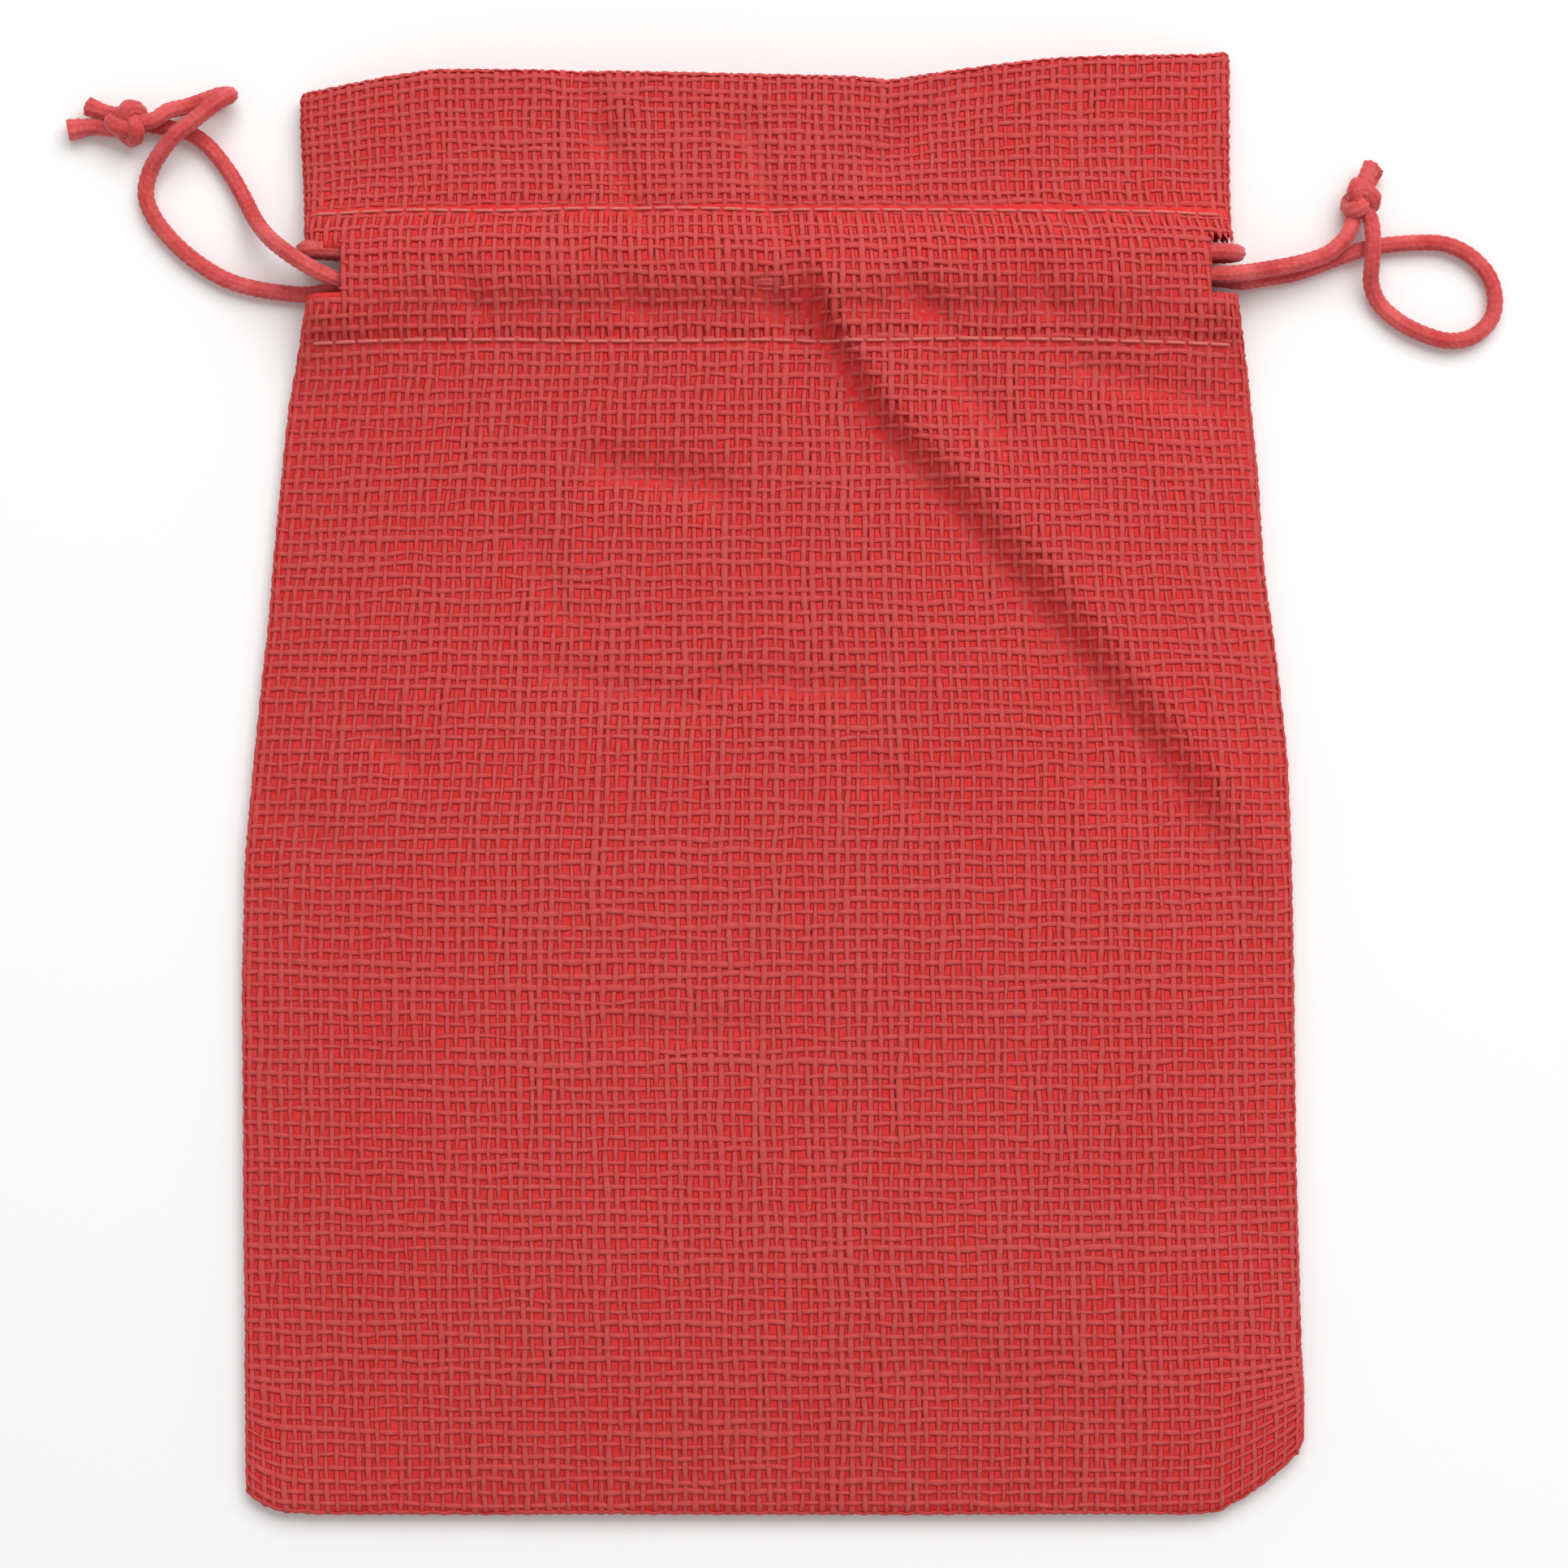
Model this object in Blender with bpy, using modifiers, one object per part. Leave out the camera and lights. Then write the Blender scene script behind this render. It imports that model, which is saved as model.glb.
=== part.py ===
"""Kinchaku drawstring pouch, lying on its back with the mouth towards +Y.

One folded jute cloth makes the pouch: the fold is at the bottom, the two sides are seamed, and
the top is turned in and sewn down twice, so that a casing runs round between the two stitch rows.
Two cords run round the casing. Each leaves by the notch at its own side and ends in a knot.
Units are metres, +Z is up, and the origin is the middle of the pouch's lower face.
"""

import math

import bmesh
import bpy
import numpy as np

MM = 0.001

# Cloth
WALL = 0.6 * MM                 # one layer of jute cloth
WALL_OVERLAP = 0.15 * MM        # how far sewn layers press into each other
TUNNEL = 2.7 * MM               # clear height of the casing round one cord
CROSSING_DEPTH = 2.6 * MM       # extra height of the casing where the two cords cross
SIDE_ARC_POINTS = 5
FACE_POINTS = 24
EDGE_CROWDING = 0.3            # 0 spaces the points of a face evenly, 1 crowds them to its edges

# Stations along the pouch: Y, height in the middle and thickness at the side edges
BODY_STATIONS = (
    (-90.0, 2.4, 2.4), (-86.0, 4.4, 2.4), (-80.0, 6.4, 2.4), (-66.0, 8.4, 2.4),
    (-40.0, 9.4, 2.4), (-23.4, 9.5, 2.4), (-9.4, 9.6, 2.4), (18.6, 9.6, 2.4),
    (36.0, 9.6, 2.4), (47.0, 9.8, 2.8), (51.0, 10.2, 4.4),
)
ROW_GROOVE = 0.9                # a stitch row draws the cloth in by this much, mm
ROW_HALF_FLAT = 0.6
ROW_HALF_WIDTH = 1.2
LOWER_ROW = (53.9, 10.6, 5.6)   # Y, height, edge thickness, mm
UPPER_ROW = (69.8, 11.0, 6.2)
CASING = (12.6, 8.6)            # height and edge thickness, mm
CASING_SPAN = (58.0, 66.4)
HEADER = (9.8, 4.0)
HEADER_START = 74.0
HEADER_MIDDLE = 82.0
MOUTH_TOP = 90.3                # Y of the last station, which then follows the mouth's edge

# Outline of the pouch seen from above, mm: Y and X of the left and right edges, X and Y of the mouth
LEFT_EDGE = (
    (-90.3, -60.6), (-89.2, -62.8), (-87.4, -65.0), (-81.4, -65.3), (-23.4, -65.7), (-9.4, -65.4),
    (2.6, -64.3), (18.6, -62.6), (34.6, -61.2), (46.6, -59.9), (54.6, -58.3), (58.6, -57.5),
    (65.6, -57.6), (84.8, -58.4),
)
RIGHT_EDGE = (
    (-90.3, 54.8), (-84.9, 62.2), (-82.4, 64.7), (-78.4, 65.7), (-49.4, 64.8), (-13.4, 64.3),
    (2.6, 63.7), (14.6, 62.4), (26.6, 60.8), (38.6, 60.0), (50.6, 58.7), (58.1, 57.4),
    (66.0, 56.8), (68.6, 56.4), (90.3, 56.4),
)
MOUTH_EDGE = (
    (-58.4, 84.8), (-47.0, 86.6), (-41.2, 87.3), (-25.2, 86.9), (9.8, 86.1), (14.0, 85.6),
    (23.5, 87.2), (34.8, 88.6), (52.8, 89.7), (56.4, 90.3),
)

# Notches at the side seams, where the casing is left open: side, inner X, lower Y, upper Y, mm
NOTCHES = (("left", -52.4, 58.9, 67.0), ("right", 53.2, 59.2, 66.8))

# Cords
CORD_D = 2.1 * MM
CORD_STEP = 5.2                 # the longest run between two points of a cord, mm
CORD_TURN = 24.0                # the most that it turns between them, degrees
ROUTE_SAMPLES = 8               # points read between two route points, before they are thinned
CORD_BEVEL_RESOLUTION = 2
LANE_DROP = 0.6 + 1.35          # from the outer face of the casing to the middle of a cord, mm
CHORD_ALLOWANCE = 1.012         # keeps a cord clear of the flats between the points of a face
CROSSING_X = 33.0               # where the cords change lanes, mm from the middle
CROSSING_HOLD = 6.5             # half the length over which they lie one above the other, mm
CROSSING_RAMP = 6.0
CROSSING_ROOM = 4.0             # how much longer than the crossing the deep part of the casing is

# Threads
THREAD_D = 0.4 * MM
THREAD_GAP = 0.3
SEAM_THREAD_START = -80.0       # Y where a seam thread starts, above the bottom corner, mm

CLOTH_COLOUR = (0.52, 0.052, 0.052, 1.0)
CORD_COLOUR = (0.56, 0.060, 0.060, 1.0)
THREAD_COLOUR = (0.62, 0.105, 0.100, 1.0)


def along(points, value):
    """Reads a list of (place, size) pairs at a place, in straight lines between them."""
    places, sizes = zip(*sorted(points))
    return float(np.interp(value, places, sizes))


def smooth_step(value, low, high):
    """0 below low, 1 above high, and an S between them."""
    t = min(max((value - low) / (high - low), 0.0), 1.0)
    return t * t * (3 - 2 * t)


def crossing_share(x, middle, room=0.0):
    """1 where the two cords lie one above the other, and 0 away from there."""
    hold = CROSSING_HOLD + room
    return 1 - smooth_step(abs(x - middle), hold, hold + CROSSING_RAMP)


def dome(x, left, right):
    """Height share of the front face across the pouch: full in the middle, 0 at the side edges."""
    s = (x - (left + right) / 2) / ((right - left) / 2)
    return 1 - min(abs(s), 1.0) ** 4


def mouth_y(x, y):
    """Moves a point of the header so that its last station follows the mouth's edge."""
    share = (y - UPPER_ROW[0]) / (MOUTH_TOP - UPPER_ROW[0])
    return y if share <= 0 else UPPER_ROW[0] + share * (along(MOUTH_EDGE, x) - UPPER_ROW[0])


def section(y, height, edge, inset=0.0, casing_extra=False):
    """One ring round the pouch at y: front from left to right, right edge, back, left edge, in mm.

    inset moves the ring inwards, and casing_extra also makes room for the crossing cords.
    """
    radius = edge / 2
    left = along(LEFT_EDGE, y) + radius
    right = along(RIGHT_EDGE, y) - radius
    even = np.linspace(0, 1, FACE_POINTS)
    crowded = (1 - np.cos(math.pi * even)) / 2
    across = left + (right - left) * (even + EDGE_CROWDING * (crowded - even))
    front, back = [], []
    for x in across:
        top = edge + (height - edge) * dome(x, left, right) - inset
        low = inset
        if casing_extra:
            top -= CROSSING_DEPTH / MM * crossing_share(x, CROSSING_X, CROSSING_ROOM)
            low += CROSSING_DEPTH / MM * crossing_share(x, -CROSSING_X, CROSSING_ROOM)
        front.append((x, mouth_y(x, y), top))
        back.append((x, mouth_y(x, y), low))
    angles = np.linspace(0, math.pi, SIDE_ARC_POINTS + 2)[1:-1]
    arc = [((radius - inset) * math.sin(a), radius + (radius - inset) * math.cos(a)) for a in angles]
    right_arc = [(right + dx, mouth_y(right, y), z) for dx, z in arc]
    left_arc = [(left - dx, mouth_y(left, y), z) for dx, z in reversed(arc)]
    return front + right_arc + back[::-1] + left_arc


def row_stations(row, before, after):
    """The four stations of a stitch row's groove as (Y, height, edge, groove)."""
    y, height, edge = row
    flat, wide = ROW_HALF_FLAT, ROW_HALF_WIDTH
    return (
        (y - wide, (height + before[0]) / 2, (edge + before[1]) / 2, 0.0),
        (y - flat, height, edge, ROW_GROOVE),
        (y + flat, height, edge, ROW_GROOVE),
        (y + wide, (height + after[0]) / 2, (edge + after[1]) / 2, 0.0),
    )


def outer_stations():
    """Every station of the pouch's outer face as (Y, height, edge, groove)."""
    stations = [(y, height, edge, 0.0) for y, height, edge in BODY_STATIONS]
    stations += row_stations(LOWER_ROW, BODY_STATIONS[-1][1:], CASING)
    stations += [(y, *CASING, 0.0) for y in CASING_SPAN]
    stations += row_stations(UPPER_ROW, CASING, HEADER)
    stations += [(y, *HEADER, 0.0) for y in (HEADER_START, HEADER_MIDDLE, MOUTH_TOP)]
    return stations


def ring_surface(name, rings, closed_bottom):
    """An open tube through rings of equal length, with its first ring closed front to back if asked."""
    count = len(rings[0])
    points = [tuple(c * MM for c in p) for ring in rings for p in ring]
    faces = []
    for r in range(len(rings) - 1):
        for i in range(count):
            j = (i + 1) % count
            faces.append((r * count + i, r * count + j, (r + 1) * count + j, (r + 1) * count + i))
    if closed_bottom:
        faces.append(tuple(reversed(range(count))))
    mesh = bpy.data.meshes.new(name)
    mesh.from_pydata(points, [], faces)
    bm = bmesh.new()
    bm.from_mesh(mesh)
    bmesh.ops.recalc_face_normals(bm, faces=bm.faces)
    bm.to_mesh(mesh)
    bm.free()
    return bpy.data.objects.new(name, mesh)


def add_wall(obj, thickness):
    """Gives an open surface its cloth thickness, inwards."""
    wall = obj.modifiers.new("cloth_thickness", "SOLIDIFY")
    wall.thickness = thickness
    wall.offset = -1
    wall.use_even_offset = True


def add_boolean(obj, other, operation):
    """Joins or cuts obj with a guide object."""
    change = obj.modifiers.new(f"{operation.lower()}_{other.name}", "BOOLEAN")
    change.operation = operation
    change.solver = "EXACT"
    change.object = other


def as_guide(obj, guides):
    """Puts an object among the guides, which are not part of the pouch."""
    guides.objects.link(obj)
    obj.hide_render = True
    obj.display_type = "WIRE"


def hem_sleeve():
    """The turned-in top of the cloth: sewn down at both rows and the header, and clear of the
    outer layer between the rows, where the casing is."""
    sewn = (WALL - WALL_OVERLAP) / MM
    open_casing = (WALL + TUNNEL) / MM
    insets = {}
    rings = [section(LOWER_ROW[0] - ROW_HALF_WIDTH - 0.3, 10.3, 4.8, sewn)]
    for y, height, edge, groove in outer_stations():
        if y < LOWER_ROW[0] - ROW_HALF_FLAT:
            continue
        in_casing = CASING_SPAN[0] <= y <= CASING_SPAN[1]
        insets[y] = open_casing if in_casing else groove + sewn
        if y == MOUTH_TOP:
            y -= 0.3
        rings.append(section(y, height, edge, insets.get(y, sewn), in_casing))
    sleeve = ring_surface("hem_sleeve_guide", rings, closed_bottom=False)
    add_wall(sleeve, WALL)
    return sleeve


def notch_cutter(side, inner_x, low_y, high_y):
    """A box that opens the casing at one side seam, right through front and back."""
    outer_x = 70.0 * (1 if inner_x > 0 else -1)
    bpy.ops.mesh.primitive_cube_add(size=1)
    cutter = bpy.context.object
    cutter.name = f"{side}_notch_cutter"
    cutter.location = ((inner_x + outer_x) / 2 * MM, (low_y + high_y) / 2 * MM, 8 * MM)
    cutter.scale = (abs(outer_x - inner_x) * MM, (high_y - low_y) * MM, 30 * MM)
    for collection in list(cutter.users_collection):
        collection.objects.unlink(cutter)
    return cutter


def pouch_cloth(guides):
    """The one piece of cloth: outer face, turned-in hem and the two notches."""
    stations = outer_stations()
    rings = [[(x, y - 0.3, 0.4 + (z - 0.4) * 0.7) for x, y, z in section(-90.0, 2.4, 2.4)]]
    rings += [section(*station[:3], station[3]) for station in stations]
    cloth = ring_surface("pouch_cloth", rings, closed_bottom=True)
    add_wall(cloth, WALL)
    sleeve = hem_sleeve()
    as_guide(sleeve, guides)
    add_boolean(cloth, sleeve, "UNION")
    for notch in NOTCHES:
        cutter = notch_cutter(*notch)
        as_guide(cutter, guides)
        add_boolean(cloth, cutter, "DIFFERENCE")
    return cloth


def smooth_line(route, samples):
    """Points on a Catmull-Rom curve through the route's own points."""
    p = np.array(route, float)
    p = np.vstack([2 * p[0] - p[1], p, 2 * p[-1] - p[-2]])
    t = np.arange(samples)[:, None] / samples
    spans = []
    for a, b, c, d in zip(p[:-3], p[1:-2], p[2:-1], p[3:]):
        spans.append(0.5 * (2 * b + (c - a) * t + (2 * a - 5 * b + 4 * c - d) * t**2
                            + (3 * b - a - 3 * c + d) * t**3))
    return np.vstack([*spans, p[-2:-1]])


def tube(name, line, diameter, bevel_resolution, closed=False):
    """A round tube along a line given in mm."""
    curve = bpy.data.curves.new(name, "CURVE")
    curve.dimensions = "3D"
    curve.bevel_depth = diameter / 2
    curve.bevel_resolution = bevel_resolution
    curve.use_fill_caps = not closed
    spline = curve.splines.new("POLY")
    spline.points.add(len(line) - 1)
    for point, place in zip(spline.points, line):
        point.co = (*(c * MM for c in place), 1.0)
    spline.use_cyclic_u = closed
    return bpy.data.objects.new(name, curve)


def casing_z(x, face):
    """Height of the middle of a cord that lies against the casing's front or back layer, mm."""
    if face == "back":
        return LANE_DROP
    y = sum(CASING_SPAN) / 2
    radius = CASING[1] / 2
    left, right = along(LEFT_EDGE, y) + radius, along(RIGHT_EDGE, y) - radius
    return CASING[1] + (CASING[0] - CASING[1]) * dome(x * CHORD_ALLOWANCE, left, right) - LANE_DROP


def casing_run(face, lane_left, lane_right, inner):
    """Route points of a cord through one face of the casing, from left to right, mm.

    It changes from one lane to the other at the crossing, and the inner cord dips there.
    """
    middle = CROSSING_X if face == "front" else -CROSSING_X
    turned_in = -1 if face == "front" else 1
    points = []
    for offset in (-83, -78, -66, -54, -42, -30, -20, -13, -8, -4, 0, 4, 8, 13, 17, 19):
        x = middle + offset if face == "front" else middle - offset
        if not -50 <= x <= 52:
            continue
        share = smooth_step(x, middle - CROSSING_HOLD, middle + CROSSING_HOLD)
        depth = CROSSING_DEPTH / MM * crossing_share(x, middle) if inner else 0.0
        y = lane_left + (lane_right - lane_left) * share
        points.append((x, y, casing_z(x, face) + turned_in * depth))
    return sorted(points)


def bight(tip_x, side, y):
    """The turn of a cord round a side seam, from the front of the casing to its back, mm."""
    middle = CASING[1] / 2
    radius = middle - LANE_DROP
    centre_x = tip_x - radius * side
    return [(centre_x + radius * math.cos(a) * side, y, middle + radius * math.sin(a))
            for a in np.radians([90, 45, 0, -45, -90])]


def thinned(line):
    """Drops the points of a fine line that its bends don't need."""
    kept, turned = [0], 0.0
    steps = np.diff(line, axis=0)
    headings = steps / np.linalg.norm(steps, axis=1)[:, None]
    for i in range(1, len(line) - 1):
        turned += math.degrees(math.acos(min(1.0, float(headings[i - 1] @ headings[i]))))
        next_reach = np.linalg.norm(line[i + 1] - line[kept[-1]])
        if turned > CORD_TURN or next_reach > CORD_STEP:
            kept.append(i)
            turned = 0.0
    return line[[*kept, len(line) - 1]]


# Routes of the two cords: a cord's lane is low in the casing at its own notch, where both its
# strands leave, and high at the other notch, where its bight turns
LEFT_CORD_LANES = (61.3, 65.1)   # Y at the casing's left and right ends, mm
RIGHT_CORD_LANES = (65.2, 62.3)
LEFT_STRAND_FRONT = (
    (-76.1, 81.2, 1.15), (-74.8, 81.0, 1.15), (-73.3, 80.7, 1.15), (-71.4, 80.0, 1.15),
    (-69.3, 78.3, 1.15), (-67.0, 75.3, 1.15), (-65.3, 72.4, 1.5), (-63.7, 69.4, 2.8),
    (-61.8, 67.0, 4.8), (-59.6, 65.1, 6.8), (-57.4, 63.6, 7.5), (-55.0, 62.3, 7.2),
    (-52.4, 61.4, 6.75),
)
LEFT_STRAND_BACK = (
    (-52.4, 61.2, 1.95), (-55.2, 60.7, 1.6), (-58.2, 60.4, 1.2), (-63.2, 61.0, 1.15),
    (-67.2, 62.1, 1.15), (-70.7, 64.1, 1.15), (-73.7, 66.6, 1.15), (-76.2, 69.6, 1.15),
    (-77.4, 72.6, 1.15), (-76.8, 75.6, 1.5), (-75.2, 77.9, 2.7), (-73.4, 79.7, 3.7),
    (-71.5, 81.2, 3.9), (-69.6, 82.7, 3.9), (-67.9, 84.0, 3.7), (-66.8, 84.8, 2.5),
    (-68.3, 85.0, 1.2), (-70.3, 84.3, 1.15), (-72.4, 83.5, 1.6), (-74.4, 82.8, 2.9),
    (-76.1, 81.6, 3.7),
)
RIGHT_STRAND_FRONT = (
    (54.8, 62.3, 6.4), (57.6, 62.6, 5.5), (60.8, 63.2, 4.2), (64.7, 64.0, 3.5), (68.0, 65.1, 3.5),
    (70.0, 66.7, 3.3), (71.0, 68.2, 2.8), (71.3, 69.2, 2.5),
)
RIGHT_STRAND_BACK = (
    (54.8, 62.2, 1.95), (57.6, 61.9, 1.6), (60.8, 62.4, 1.2), (64.7, 63.1, 1.15),
    (68.8, 64.6, 1.15), (71.6, 65.6, 1.15), (74.9, 66.4, 1.15), (79.5, 66.8, 1.15),
    (83.0, 66.6, 1.15), (86.0, 65.2, 1.15), (88.3, 62.7, 1.15), (89.1, 59.8, 1.15),
    (88.5, 57.2, 1.15), (86.3, 55.2, 1.15), (83.2, 54.7, 1.15), (79.6, 55.8, 1.15),
    (76.8, 57.4, 1.15), (74.7, 59.4, 1.2), (73.7, 61.7, 2.0), (73.6, 63.9, 3.4),
    (73.7, 66.0, 3.8), (73.7, 67.8, 3.3), (73.7, 69.2, 2.7),
)


def left_cord_route():
    """From the knot in by the left notch, across the front, round the right side, back and out."""
    front = casing_run("front", *LEFT_CORD_LANES, inner=False)
    back = casing_run("back", *LEFT_CORD_LANES, inner=False)
    turn = bight(57.0, 1, LEFT_CORD_LANES[1])
    return [*LEFT_STRAND_FRONT, *front, *turn, *reversed(back), *LEFT_STRAND_BACK]


def right_cord_route():
    """From the knot in by the right notch, across the front, round the left side, back and out."""
    front = casing_run("front", *RIGHT_CORD_LANES, inner=True)
    back = casing_run("back", *RIGHT_CORD_LANES, inner=True)
    turn = bight(-57.6, -1, 65.5)
    return [*reversed(RIGHT_STRAND_FRONT), *reversed(front), *turn, *back, *RIGHT_STRAND_BACK]


def knot(name, centre, size, tails, guides):
    """An overhand knot as one closed form: a rounded body with the cut ends of the cord."""
    bpy.ops.mesh.primitive_uv_sphere_add(segments=16, ring_count=10, radius=0.5)
    body = bpy.context.object
    body.name = name
    body.data.transform(body.matrix_world.inverted())
    for vertex in body.data.vertices:
        vertex.co = [c * s * MM for c, s in zip(vertex.co, size)]
    body.location = [c * MM for c in centre]
    for collection in list(body.users_collection):
        collection.objects.unlink(body)
    for i, line in enumerate(tails):
        end = as_mesh(tube(f"{name}_end_{i}_guide", smooth_line(line, 2), CORD_D, 1))
        as_guide(end, guides)
        add_boolean(body, end, "UNION")
    return body


def as_mesh(curve_object):
    """Turns a tube into a closed mesh object, because a curve takes no Boolean."""
    bpy.context.scene.collection.objects.link(curve_object)
    bpy.context.view_layer.update()
    evaluated = curve_object.evaluated_get(bpy.context.evaluated_depsgraph_get())
    mesh = bpy.data.meshes.new_from_object(evaluated)
    bm = bmesh.new()
    bm.from_mesh(mesh)
    bmesh.ops.remove_doubles(bm, verts=bm.verts, dist=1e-6)
    bmesh.ops.recalc_face_normals(bm, faces=bm.faces)
    bm.to_mesh(mesh)
    bm.free()
    obj = bpy.data.objects.new(curve_object.name, mesh)
    obj.matrix_world = curve_object.matrix_world
    bpy.data.objects.remove(curve_object)
    return obj


def row_thread(name, row):
    """The thread of one stitch row, lying in its groove all round the pouch."""
    y, height, edge = row
    lie = ROW_GROOVE - THREAD_GAP - THREAD_D / 2 / MM
    return tube(name, section(y, height, edge, lie), THREAD_D, 1, closed=True)


def seam_thread(name, edge_line, inwards):
    """The thread of one side seam, inside the pouch along its edge."""
    line = []
    for y, _, edge in BODY_STATIONS:
        if y >= SEAM_THREAD_START:
            line.append((along(edge_line, y) + inwards * edge / 2, y, edge / 2))
    return tube(name, line, THREAD_D, 1)


def coloured(obj, colour, roughness):
    """Gives an object its own Principled material."""
    material = bpy.data.materials.new(f"{obj.name}_material")
    material.use_nodes = True
    shader = material.node_tree.nodes["Principled BSDF"]
    shader.inputs["Base Color"].default_value = colour
    shader.inputs["Roughness"].default_value = roughness
    shader.inputs["Metallic"].default_value = 0.0
    obj.data.materials.clear()
    obj.data.materials.append(material)
    return obj


for old in list(bpy.data.objects):
    bpy.data.objects.remove(old)
pouch_collection = bpy.data.collections.new("kinchaku_pouch")
guide_collection = bpy.data.collections.new("guides")
for made in (pouch_collection, guide_collection):
    bpy.context.scene.collection.children.link(made)

pieces = [
    coloured(pouch_cloth(guide_collection), CLOTH_COLOUR, 0.9),
    coloured(row_thread("lower_casing_thread", LOWER_ROW), THREAD_COLOUR, 0.6),
    coloured(row_thread("upper_casing_thread", UPPER_ROW), THREAD_COLOUR, 0.6),
    coloured(seam_thread("left_seam_thread", LEFT_EDGE, 1), THREAD_COLOUR, 0.6),
    coloured(seam_thread("right_seam_thread", RIGHT_EDGE, -1), THREAD_COLOUR, 0.6),
]
for cord_name, route in (("left_drawcord", left_cord_route()), ("right_drawcord", right_cord_route())):
    line = thinned(smooth_line(route, ROUTE_SAMPLES))
    pieces.append(coloured(tube(cord_name, line, CORD_D, CORD_BEVEL_RESOLUTION), CORD_COLOUR, 0.7))
pieces.append(coloured(knot(
    "left_knot", (-79.5, 81.4, 2.35), (6.0, 6.2, 4.6),
    [[(-80.4, 81.9, 2.3), (-82.4, 82.6, 1.8), (-84.6, 83.5, 1.3)],
     [(-80.4, 80.9, 2.2), (-83.0, 80.8, 1.6), (-86.6, 80.6, 1.2)]],
    guide_collection), CORD_COLOUR, 0.7))
pieces.append(coloured(knot(
    "right_knot", (72.4, 72.1, 2.35), (5.8, 5.0, 4.6),
    [[(72.6, 73.0, 2.6), (73.2, 74.6, 2.2), (74.0, 76.2, 1.5)]],
    guide_collection), CORD_COLOUR, 0.7))
for piece in pieces:
    pouch_collection.objects.link(piece)
    if piece.type == "MESH":
        piece.data.shade_smooth()
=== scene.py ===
"""Looks of the kinchaku drawstring pouch: yarns, cords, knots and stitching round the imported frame."""

import math

import bpy
import numpy as np
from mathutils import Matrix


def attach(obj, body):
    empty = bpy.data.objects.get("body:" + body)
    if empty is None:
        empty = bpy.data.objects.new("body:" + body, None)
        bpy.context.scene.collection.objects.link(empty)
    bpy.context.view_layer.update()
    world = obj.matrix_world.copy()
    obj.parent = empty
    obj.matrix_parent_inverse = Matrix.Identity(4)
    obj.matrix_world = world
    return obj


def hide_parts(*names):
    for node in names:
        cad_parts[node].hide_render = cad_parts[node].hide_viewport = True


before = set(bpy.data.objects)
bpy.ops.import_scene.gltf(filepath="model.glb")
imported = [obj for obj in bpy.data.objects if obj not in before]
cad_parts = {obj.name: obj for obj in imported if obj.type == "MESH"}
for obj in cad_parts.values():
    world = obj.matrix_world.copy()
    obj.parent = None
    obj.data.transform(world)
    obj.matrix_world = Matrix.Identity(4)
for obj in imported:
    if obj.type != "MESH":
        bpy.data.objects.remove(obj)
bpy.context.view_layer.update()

# ---------------------------------------------------------------------------------------------
# Camera. The pouch lies on its back, so the camera looks straight down on it from half a metre,
# aimed a little to the right of its middle, because the right cord's loop reaches further out.
# ---------------------------------------------------------------------------------------------
MM = 0.001
LENS = 100.0
SENSOR = 36.0
VIEW_WIDTH = 193.2 * MM
VIEW_LEVEL = 2.0 * MM            # height at which the view is that wide
VIEW_X = 1.35 * MM

camera_data = bpy.data.cameras.new("camera")
camera_data.lens = LENS
camera_data.sensor_width = SENSOR
camera = bpy.data.objects.new("camera", camera_data)
camera.location = (VIEW_X, 0.0, VIEW_LEVEL + VIEW_WIDTH * LENS / SENSOR)
bpy.context.scene.collection.objects.link(camera)
bpy.context.scene.camera = camera

# ---------------------------------------------------------------------------------------------
# Drawcords. Two round cords of dyed polyester, braided from eight strands, 2.1 mm thick. Each one
# goes in by its own notch, right round the casing and out by the same notch. On the far side its
# bight shows in the other notch.
# ---------------------------------------------------------------------------------------------
CORD_D = 2.1
CORD_SIDES = 32
CORD_RIBS = 8
STITCH_PITCH = 1.0               # length of one stitch of the braid, mm
STITCH_SLANT = 0.55              # how far a stitch leans along the cord across its rib
FINE_RING = 0.17                 # spacing of rings where the cord shows, mm
COARSE_RING = 1.2                # and inside the casing
CASING_EDGE, CASING_HEIGHT = 8.6, 12.6
CASING_LEFT, CASING_RIGHT = -53.2, 53.1
LANE_DROP, FRONT_LANE_DROP = 1.95, 2.3   # from the casing's outer face to the middle of a cord, mm
CROSSING_X, CROSSING_HOLD, CROSSING_RAMP, CROSSING_DEPTH = 33.0, 6.5, 6.0, 2.6

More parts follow.
